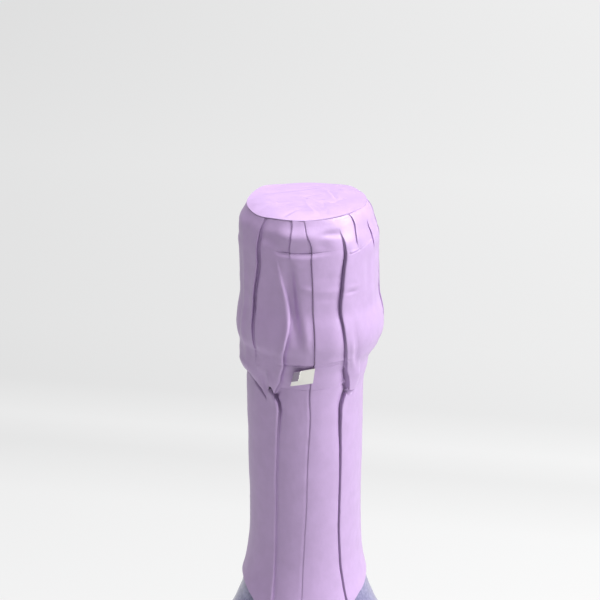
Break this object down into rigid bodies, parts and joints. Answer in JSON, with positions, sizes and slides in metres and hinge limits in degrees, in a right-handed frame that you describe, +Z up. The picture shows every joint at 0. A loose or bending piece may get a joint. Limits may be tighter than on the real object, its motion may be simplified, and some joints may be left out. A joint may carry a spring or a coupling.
{
  "type": "champagne bottle",
  "caption": "Corked champagne bottle with sloping shoulder and punt, wire cage with cap plate, and a foil capsule with tear strip and tab.",
  "frame": {"origin": "centre of the standing ring, on the plane the bottle stands on", "axes": "+Z up along the bottle's axis, -Y towards the foil's overlap seam and tear tab, +X towards the cage's folded wire loop"},
  "size_m": [0.0882, 0.0882, 0.3247],
  "materials": {
    "coated_glass": "glossy pearlescent periwinkle coating, softly mottled, over glass",
    "wine": "clear pale gold liquid",
    "cork_agglomerate": "matte, fine glued granules",
    "cork_natural": "matte, natural grain with dark lenticels",
    "cap_lacquer": "satin lacquered tinplate",
    "cage_wire": "galvanised, dull",
    "lilac_foil": "satin lilac lacquer over soft aluminium foil",
    "bare_foil": "bare foil, satin"
  },
  "bodies": {
    "bottle": {"glass_bottle": "coated_glass", "wine": "wine", "neck_foil": "lilac_foil", "tear_strip": "lilac_foil"},
    "cork": {"cork_body": "cork_agglomerate", "cork_disc_upper": "cork_natural", "cork_disc_lower": "cork_natural"},
    "muselet": {"cap_plate": "cap_lacquer", "cage_frame": "cage_wire", "belt_wire": "cage_wire"},
    "hood": {"foil_hood": "lilac_foil", "foil_top_disc": "lilac_foil"},
    "loop": {"wire_loop": "cage_wire"},
    "tab": {"tear_tab": "bare_foil"}
  },
  "joints": [
    {"name": "cork_pull", "type": "slide", "parent": "bottle", "child": "cork", "axis": [0, 0, 1], "range_m": [0, 0.045]},
    {"name": "muselet_lift", "type": "slide", "parent": "cork", "child": "muselet", "axis": [0, 0, 1], "range_m": [0, 0.065], "deforming": ["cage_frame", "belt_wire"]},
    {"name": "hood_lift", "type": "slide", "parent": "muselet", "child": "hood", "axis": [0, 0, 1], "range_m": [0, 0.11]},
    {"name": "loop_fold", "type": "hinge", "parent": "muselet", "child": "loop", "pos_m": [0.0173, 0, 0.2852], "axis": [0, 1, 0], "range_deg": [0, 90.5]},
    {"name": "tab_pull", "type": "hinge", "parent": "bottle", "child": "tab", "pos_m": [0.00173, -0.01763, 0.28093], "axis": [-0.2079, -0.3379, 0.9179], "range_deg": [0, 150]}
  ],
  "couplings": [
    {"joint": "loop_fold", "follows": "hood_lift", "rad_per_m": 14.28}
  ]
}
